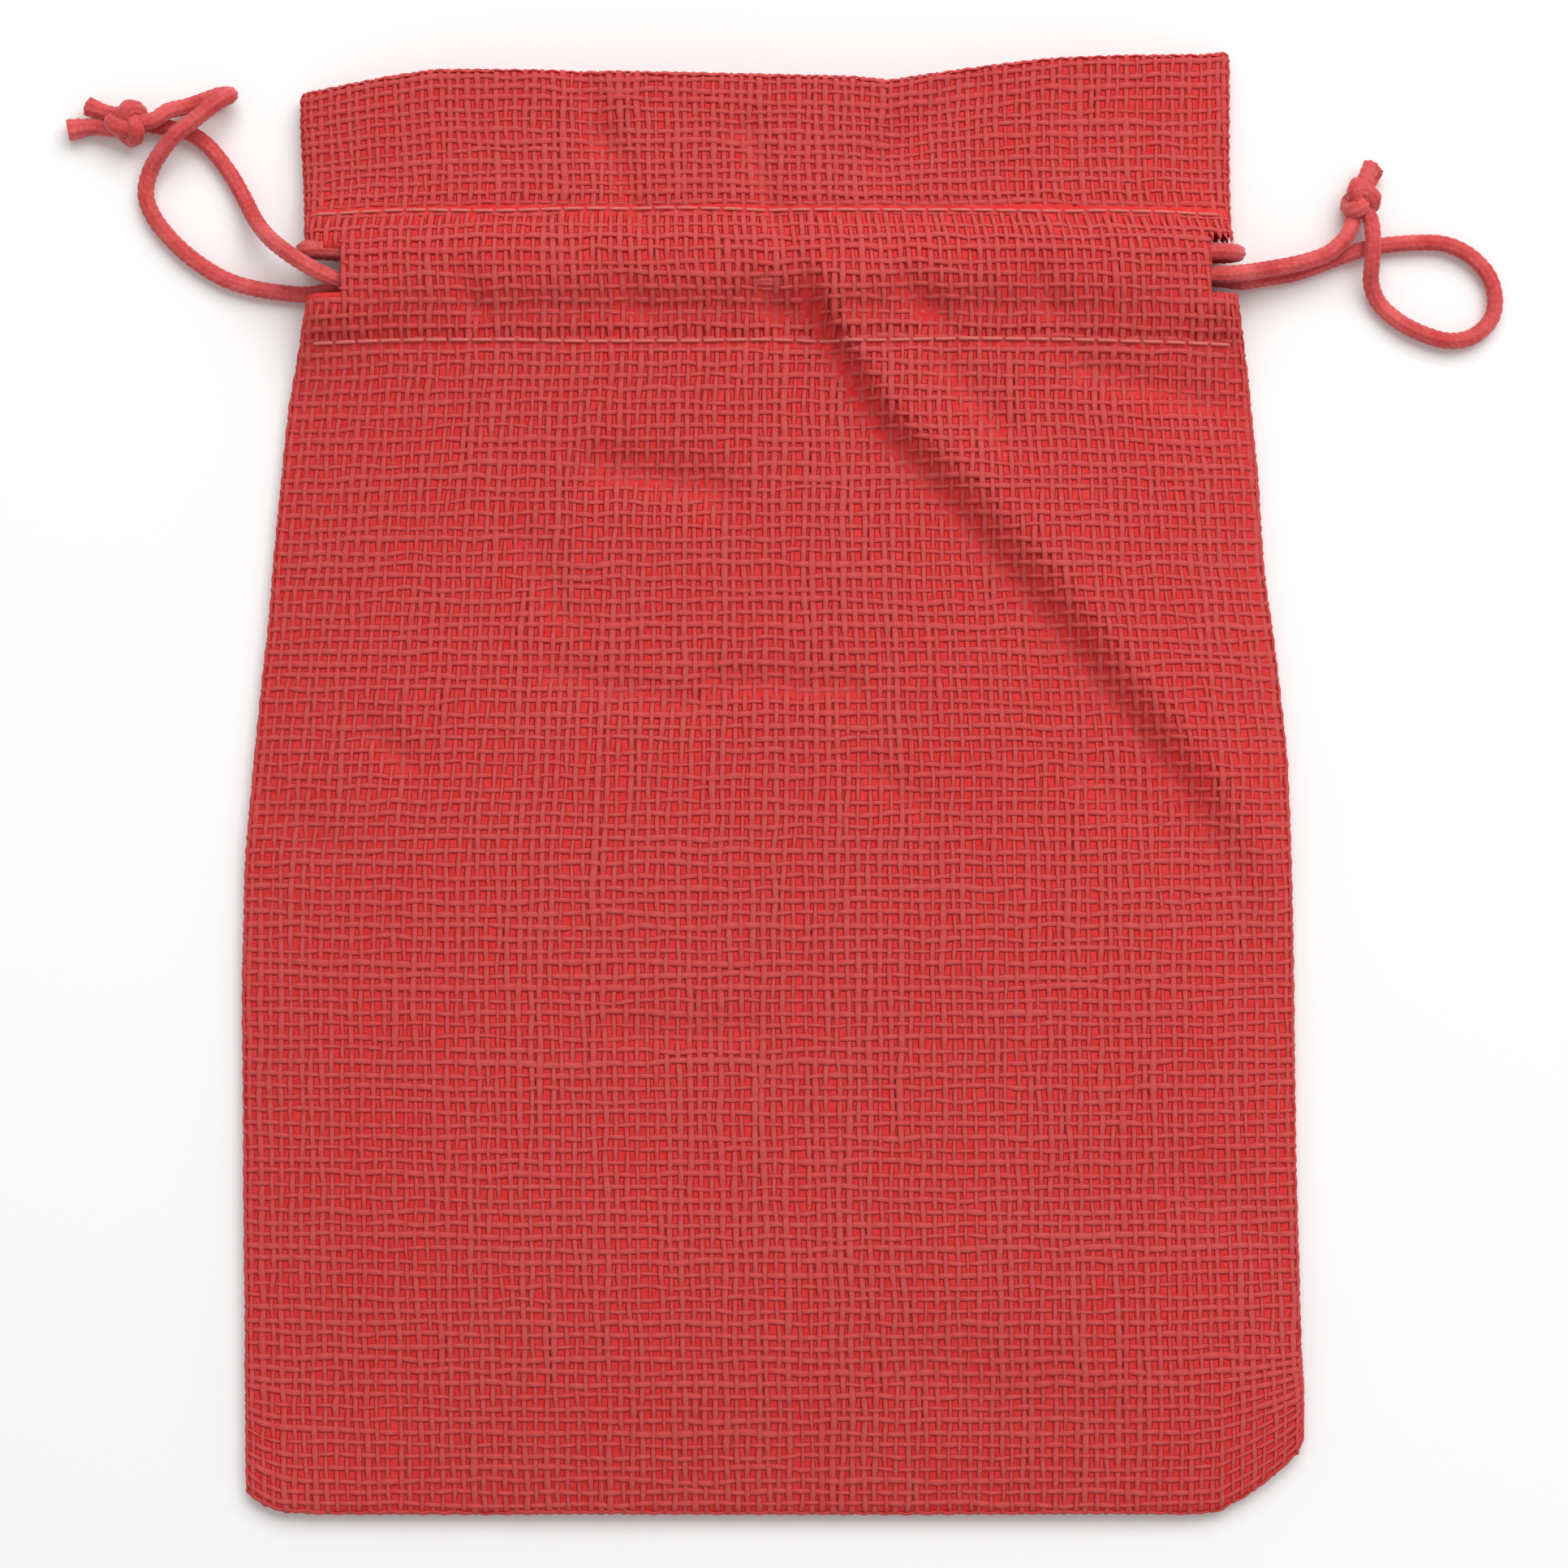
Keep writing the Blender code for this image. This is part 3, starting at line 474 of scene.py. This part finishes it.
def cloth_point(face, across, run, inset):
    """A point of the cloth in mm. across goes from 0 at the left mid-edge to 1 at the right one, by
    length round the section; run is the way from the bottom's mid-edge up the face, over the
    mouth fold and down inside; inset is the depth below the outer face. A section is a low
    dome, 1 - s^4, between two half-round edges."""
    rise = math.pi / 2 * BOTTOM_R
    straight = 2 * MOUTH_TOP - BOTTOM_R - MOUTH_R
    over = math.pi * MOUTH_R
    bottom = np.clip(run / BOTTOM_R, 0, math.pi / 2)
    mouth = np.clip((run - rise - straight) / MOUTH_R, 0, math.pi)
    inside = np.maximum(run - rise - straight - over, 0)
    station = -MOUTH_TOP + BOTTOM_R + np.clip(run - rise, 0, straight) - inside
    below = (BOTTOM_R - inset) * np.cos(bottom)
    depth = np.where(mouth > 0, MOUTH_R - (MOUTH_R - inset) * np.cos(mouth), inset)
    above = np.where(mouth > 0, (MOUTH_R - inset) * np.sin(mouth), 0.0)
    left = read_pairs(LEFT_EDGE, station - below)
    right = read_pairs(RIGHT_EDGE, station - below)
    edge = read_pairs(EDGE_THICKNESS, station)
    in_casing = s_curve(station, 55.0, 58.0) * (1 - s_curve(station, 66.0, 69.2)) * (inside > 0)
    depth = depth + in_casing * 2.4
    radius = edge / 2
    flat = right - left - edge
    total = flat + math.pi * radius
    way = across * total
    turn_left = np.clip(way / radius, 0, math.pi / 2)
    turn_right = np.clip((total - way) / radius, 0, math.pi / 2)
    core = np.maximum(radius - depth, 0.05)
    x = (left + radius - core * np.cos(turn_left) + np.clip(way - math.pi / 2 * radius, 0, flat)
         + core * np.cos(turn_right))
    rounded = np.minimum(np.sin(turn_left), np.sin(turn_right))
    s = (x - (left + right) / 2) / (flat / 2)
    dome = 1 - np.minimum(np.abs(s), 1) ** 4
    height = 2.4 + 7.0 * (1 - np.exp(-(station + MOUTH_TOP) / 22)) \
        + 1.2 * np.exp(-((station - 62.0) / 12.0) ** 2) + 2.0 * np.exp(-((station - 63.4) / 4.8) ** 4)
    groove = sum(np.exp(-((station - row) / 0.9) ** 2) for row in (LOWER_ROW_Y, UPPER_ROW_Y)) * 0.5
    upper = np.maximum(station - HEADER_FROM, 0) / (MOUTH_TOP - HEADER_FROM)
    lower = np.maximum(CORNER_FROM - station, 0) / (CORNER_FROM + MOUTH_TOP)
    y = station + upper * (read_pairs(MOUTH_EDGE, x) - MOUTH_TOP) + above \
        + lower * (read_pairs(BOTTOM_EDGE, x) + MOUTH_TOP) - below
    crossing = CROSSING_X if face == "front" else -CROSSING_X
    away = s_curve(np.abs(x - crossing), CROSSING_HOLD + 4, CROSSING_HOLD + CROSSING_RAMP + 4)
    bump = in_casing * CROSSING_DEPTH * (1 - away) * rounded
    if face == "front":
        calm = (1 - np.minimum(np.abs(s), 1) ** 14) * s_curve(station, -MOUTH_TOP, -74)
        top = radius + core * rounded + (height - edge) * dome + fold_height(x, y) * calm
        top = top - groove * rounded - bump
        z = radius + (top - radius) * np.sin(bottom)
    else:
        low = radius - core * rounded + groove * rounded * 0.6 + bump
        z = radius + (low - radius) * np.sin(bottom)
    return np.stack([x, y, z], axis=-1)


def in_notch(points, margin):
    """Which points lie in a notch, made smaller by a margin in mm."""
    x, y = points[..., 0], points[..., 1]
    inside = np.zeros(x.shape, bool)
    for side, inner, low, high in NOTCHES:
        inside |= (x * side > inner * side + margin) & (y > low + margin) & (y < high - margin)
    return inside


def ground_mesh():
    """The cloth's own sheet: rings round the pouch from the bottom fold over the mouth to the hem's
    lower edge."""
    run_end = 2 * MOUTH_TOP + HEM_DOWN
    run = np.concatenate([np.linspace(0, 2, 4), np.linspace(3.4, 178.5, 96),
                          np.linspace(179, 184, 9), np.linspace(185.5, run_end, 18)])[:, None]
    across = np.linspace(0, 1, 112)
    across = (across + 0.5 - np.cos(np.pi * across) / 2)[None] / 2
    front = cloth_point("front", across, run, GROUND_DEPTH)
    back = cloth_point("back", across[:, 1:-1], run, GROUND_DEPTH)[:, ::-1]
    rings = np.concatenate([front, back], axis=1)
    rows, count = rings.shape[:2]
    index = np.arange(rows * count).reshape(rows, count)
    ahead = np.roll(index, -1, axis=1)
    quads = np.stack([index[:-1], ahead[:-1], ahead[1:], index[1:]], axis=-1)
    middles = (rings[:-1] + np.roll(rings, -1, axis=1)[1:]) / 2
    quads = quads[~in_notch(middles, 0.0)]
    mesh = bpy.data.meshes.new("jute_ground")
    mesh.from_pydata((rings.reshape(-1, 3) * MM).tolist(), [], quads.tolist())
    place = np.stack(np.broadcast_arrays(np.linspace(0, 1, count)[None], run / run_end), axis=-1)
    uv = mesh.uv_layers.new(name="OFBake")
    uv.data.foreach_set("uv", place.reshape(-1, 2)[quads.ravel()].astype(np.float32).ravel())
    mesh.update(calc_edges=True)
    mesh.shade_smooth()
    obj = bpy.data.objects.new("jute_ground", mesh)
    bpy.context.scene.collection.objects.link(obj)
    wall = obj.modifiers.new("cloth_thickness", "SOLIDIFY")
    wall.thickness = 0.15 * MM
    wall.offset = -1
    return obj


def ground_material():
    """The shaded gaps of the weave: a deeper, more saturated red than the yarns, lightly mottled."""
    material, shader = new_material("jute_weave_gaps", 0.95, 0.0)
    place = add_node(material, "ShaderNodeTexCoord")
    mottle = add_node(material, "ShaderNodeTexNoise", {"Scale": 900.0, "Detail": 3.0},
                      {"Vector": place.outputs["Object"]})
    tone = add_node(material, "ShaderNodeValToRGB", None, {"Fac": mottle.outputs["Fac"]})
    tone.color_ramp.elements[0].position = 0.3
    tone.color_ramp.elements[0].color = srgb("#D22C2C")
    tone.color_ramp.elements[1].position = 0.7
    tone.color_ramp.elements[1].color = srgb("#D84040")
    material.node_tree.links.new(tone.outputs["Color"], shader.inputs["Base Color"])
    return material


ground = ground_mesh()
ground.data.materials.append(ground_material())
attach(ground, "root")
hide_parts("pouch_cloth")

# ---------------------------------------------------------------------------------------------
# Yarns. Single-ply jute in a plain weave, about 1.27 mm apart across and 1.5 mm apart along. Each
# yarn is thick and thin by turns and wanders a little. The weft turns round the side edges, which
# makes them serrated, and the warp runs round the bottom fold and over the mouth.
# ---------------------------------------------------------------------------------------------
WARPS = 102
WEFT_PITCH = 1.52
WEFTS = 122
YARN_DEPTH = 0.30                # from the outer face to the middle of the weave, mm
WEAVE_SWING = 0.10               # how far a yarn's middle moves over and under it
WARP_HALF_WIDTH, WEFT_HALF_WIDTH, YARN_HALF_HEIGHT = 0.43, 0.42, 0.16
# Corners of a yarn's section: sideways and up as shares of its half width and height, and how far
# each carries the painted highlight on the yarn's top; the back, which lies on the floor, has one crest
# corner less
FRONT_SECTION = ((-1.0, -0.45, 0.0), (-0.38, 0.85, 1.0), (0.38, 0.85, 1.0), (1.0, -0.45, 0.0))
BACK_SECTION = ((-1.0, -0.45, 0.0), (0.0, 0.95, 1.0), (1.0, -0.45, 0.0))


def wander(rng, rows, samples, spacing):
    """Smooth random rows between -1 and 1: a random number every few samples, joined by S-curves."""
    knots = rng.uniform(-1, 1, (rows, int(samples / spacing) + 2))
    place = np.arange(samples) / spacing
    k = place.astype(int)
    t = place - k
    t = t * t * (3 - 2 * t)
    return knots[:, k] * (1 - t) + knots[:, k + 1] * t


def yarn_set(name, face, direction, seed):
    """All warps or wefts of one face as one mesh. A yarn's middle is the cloth's surface plus
    its normal times +swing where it goes over a crossing yarn, -swing where it goes under and 0
    half way between."""
    rng = np.random.default_rng(seed)
    section = FRONT_SECTION if face == "front" else BACK_SECTION
    warp = direction == "warp"
    yarns, samples = (WARPS, 2 * WEFTS + 1) if warp else (WEFTS, 2 * WARPS + 1)
    number = np.arange(yarns)[:, None]
    sample = np.arange(samples)[None]
    shift = 0.12 * wander(rng, yarns, samples, 23) + 0.14 * wander(rng, yarns, samples, 6)
    thick = 1 + 0.22 * wander(rng, yarns, samples, 17) + 0.22 * wander(rng, yarns, samples, 5)
    thick = thick * rng.uniform(0.82, 1.12, (yarns, 1))
    if warp:
        across = (number + 0.5 + shift) / WARPS + 0.0 * sample
        run = sample * WEFT_PITCH / 2 + 0.0 * number
        half_width = WARP_HALF_WIDTH * thick
    else:
        across = sample / (2 * WARPS) + 0.0 * number
        run = (number + 0.5 + shift) * WEFT_PITCH
        half_width = WEFT_HALF_WIDTH * thick
    swing = WEAVE_SWING * np.where(number % 2 == 0, 1, -1) * np.sin(np.pi * sample / 2)
    swing = swing if warp else -swing
    step = 1e-3
    middle = cloth_point(face, across, run, YARN_DEPTH)
    by_across = cloth_point(face, across + step, run, YARN_DEPTH) \
        - cloth_point(face, across - step, run, YARN_DEPTH)
    by_run = cloth_point(face, across, run + 0.1, YARN_DEPTH) \
        - cloth_point(face, across, run - 0.1, YARN_DEPTH)
    normal = np.cross(by_across, by_run) if face == "front" else np.cross(by_run, by_across)
    normal /= np.linalg.norm(normal, axis=-1, keepdims=True)
    sideways = by_across if warp else by_run
    sideways = sideways / np.linalg.norm(sideways, axis=-1, keepdims=True)
    gone = in_notch(middle, 0.0)
    half_width = np.where(gone, 0.02, half_width)
    half_height = np.where(gone, 0.02, YARN_HALF_HEIGHT * np.sqrt(thick))
    middle = middle + normal * swing[..., None]
    corners = [middle + sideways * (half_width * w)[..., None] + normal * (half_height * h)[..., None]
               for w, h, _ in section]
    keep = ~(gone[:, 1:] & gone[:, :-1])
    piece = strips_mesh(name, np.stack(corners, axis=2), keep)
    # Painted highlight: the top corners are paler and pinker in colour, most where the yarn passes over a
    # crossing yarn; the sides stay deeper red as painted shade
    painted_crest_highlight = np.array([c for _, _, c in section]) * (0.6 + 0.4 * swing / WEAVE_SWING)[..., None]
    tone = 0.12 * wander(rng, yarns, samples, 31) + 0.08 * rng.uniform(-1, 1, (yarns, 1))
    tone = (0.72 * painted_crest_highlight + tone[..., None]).ravel().astype(np.float32)
    # The tone attribute holds the yarn's own random tone plus this painted crest highlight
    piece.data.attributes.new("tone", "FLOAT", "POINT").data.foreach_set("value", tone)
    return piece


def yarn_material(name, along_x):
    """Single-ply jute dyed red: fibres of about 0.05 mm twisted at a low angle to the yarn, with a tone of
    its own
    from yarn to yarn, and painted light: a paler, pinker painted highlight on the crests and deeper red
    painted shade on the sides."""
    material, shader = new_material(name, 0.9, 0.0)
    place = add_node(material, "ShaderNodeTexCoord")
    stretch = (900.0, 5200.0, 5200.0) if along_x else (5200.0, 900.0, 5200.0)
    fibre_place = add_node(material, "ShaderNodeMapping", {"Scale": stretch, "Rotation": (0, 0, 0.35)},
                           {"Vector": place.outputs["Object"]})
    fibres = add_node(material, "ShaderNodeTexNoise", {"Scale": 1.0, "Detail": 3.0},
                      {"Vector": fibre_place.outputs["Vector"]})
    tone = add_node(material, "ShaderNodeAttribute", {"attribute_name": "tone"})
    mixed = add_node(material, "ShaderNodeMath", {"operation": "MULTIPLY_ADD", 1: 0.6},
                     {0: fibres.outputs["Fac"], 2: tone.outputs["Fac"]})
    ramp = add_node(material, "ShaderNodeValToRGB", None, {"Fac": mixed.outputs[0]})
    # The ramp's deeper red end is painted shade on the yarns' sides and its paler, pinker end is the
    # painted highlight on their crests
    ramp.color_ramp.elements[0].position = 0.15
    ramp.color_ramp.elements[0].color = srgb("#CC3838")
    ramp.color_ramp.elements[1].position = 1.0
    ramp.color_ramp.elements[1].color = srgb("#C45250")
    bump = add_node(material, "ShaderNodeBump", {"Strength": 0.5, "Distance": 0.0001},
                    {"Height": fibres.outputs["Fac"]})
    material.node_tree.links.new(ramp.outputs["Color"], shader.inputs["Base Color"])
    material.node_tree.links.new(bump.outputs["Normal"], shader.inputs["Normal"])
    return material


warp_material = yarn_material("jute_warp_yarn", False)
weft_material = yarn_material("jute_weft_yarn", True)
for seed, (face, direction) in enumerate((("front", "warp"), ("front", "weft"), ("back", "warp"),
                                          ("back", "weft"))):
    yarn_piece = yarn_set(f"{face}_{direction}_yarns", face, direction, 40 + seed)
    yarn_piece.data.materials.append(warp_material if direction == "warp" else weft_material)
    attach(yarn_piece, "root")

# ---------------------------------------------------------------------------------------------
# Stitching. Two rows of lockstitch go right round the pouch and make the casing, in a thin polyester
# thread a little paler than the cloth. Each stitch lies on the cloth between two needle holes.
# ---------------------------------------------------------------------------------------------
THREAD_R = 0.2
STITCH = 2.9                     # from needle hole to needle hole, mm
STITCH_SHARE = 0.86


def stitch_row(name, node, station, seed):
    """A row of stitches round the pouch: each is a short tube that rises by a half sine from the
    cloth, with its ends pulled into the needle holes."""
    rng = np.random.default_rng(seed)
    made = []
    run = station + MOUTH_TOP - BOTTOM_R + math.pi / 2 * BOTTOM_R
    for face in ("front", "back"):
        count = int(118 / STITCH)
        t = np.linspace(-0.5, 0.5, 9)[None]
        number = np.arange(count)[:, None]
        across = 0.03 + 0.94 * (number + 0.5 + STITCH_SHARE * t) / count
        waver = 0.22 * wander(rng, 1, count + 1, 4).ravel()
        lie = waver[number] + (waver[number + 1] - waver[number]) * (t + 0.5)
        lift = YARN_DEPTH - 0.34 - 0.25 * np.cos(np.pi * t)
        line = cloth_point(face, across, run + lie, lift)
        ends = np.gradient(line, axis=1)
        ends /= np.linalg.norm(ends, axis=-1, keepdims=True)
        up = np.zeros_like(ends)
        up[..., 2] = 1 if face == "front" else -1
        side = np.cross(ends, up)
        side /= np.linalg.norm(side, axis=-1, keepdims=True)
        up = np.cross(side, ends)
        turn = np.linspace(0, 2 * math.pi, 6, endpoint=False)
        around = (side[..., None, :] * np.cos(turn)[:, None] + up[..., None, :] * np.sin(turn)[:, None])
        made.append(line[..., None, :] + THREAD_R * around)
    piece = strips_mesh(name, np.concatenate(made, axis=0))
    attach(piece, "root")
    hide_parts(node)
    return piece


def thread_material():
    """Spun polyester thread: even, paler red than the jute, with a slight silky sheen."""
    material, shader = new_material("polyester_sewing_thread", 0.55, 0.2)
    shader.inputs["Base Color"].default_value = srgb("#D36A66")
    return material


sewing_thread = thread_material()
rows = [stitch_row("lower_stitches", "lower_casing_thread", LOWER_ROW_Y, 7),
        stitch_row("upper_stitches", "upper_casing_thread", UPPER_ROW_Y, 8)]
seams = [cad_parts["left_seam_thread"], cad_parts["right_seam_thread"]]
for piece in rows + seams:
    piece.data.materials.clear()
    piece.data.materials.append(sewing_thread)

# ---------------------------------------------------------------------------------------------
# Floor and light. A plain white floor, one wide soft light towards the mouth's side, and an even
# pale sky. The shadows stay short and faint.
# ---------------------------------------------------------------------------------------------
floor_mesh = bpy.data.meshes.new("floor")
floor_mesh.from_pydata([(-3, -3, 0), (3, -3, 0), (3, 3, 0), (-3, 3, 0)], [], [(0, 1, 2, 3)])
floor = bpy.data.objects.new("floor", floor_mesh)
floor.location.z = -0.0002
bpy.context.scene.collection.objects.link(floor)
floor_material, floor_shader = new_material("white_card", 0.9, 0.0)
floor_shader.inputs["Base Color"].default_value = (0.93, 0.93, 0.93, 1.0)
floor.data.materials.append(floor_material)

light_data = bpy.data.lights.new("soft_light", "AREA")
light_data.shape = "RECTANGLE"
light_data.size, light_data.size_y = 1.2, 0.8
light_data.energy = 12.4
light = bpy.data.objects.new("soft_light", light_data)
light.location = (0.25, 0.72, 0.92)
light.rotation_euler = (-0.66, 0.0, -0.33)
bpy.context.scene.collection.objects.link(light)

world = bpy.data.worlds.new("pale_sky")
world.use_nodes = True
world.node_tree.nodes["Background"].inputs["Color"].default_value = (1.0, 1.0, 1.0, 1.0)
world.node_tree.nodes["Background"].inputs["Strength"].default_value = 0.53
bpy.context.scene.world = world
bpy.context.scene.view_settings.view_transform = "Standard"
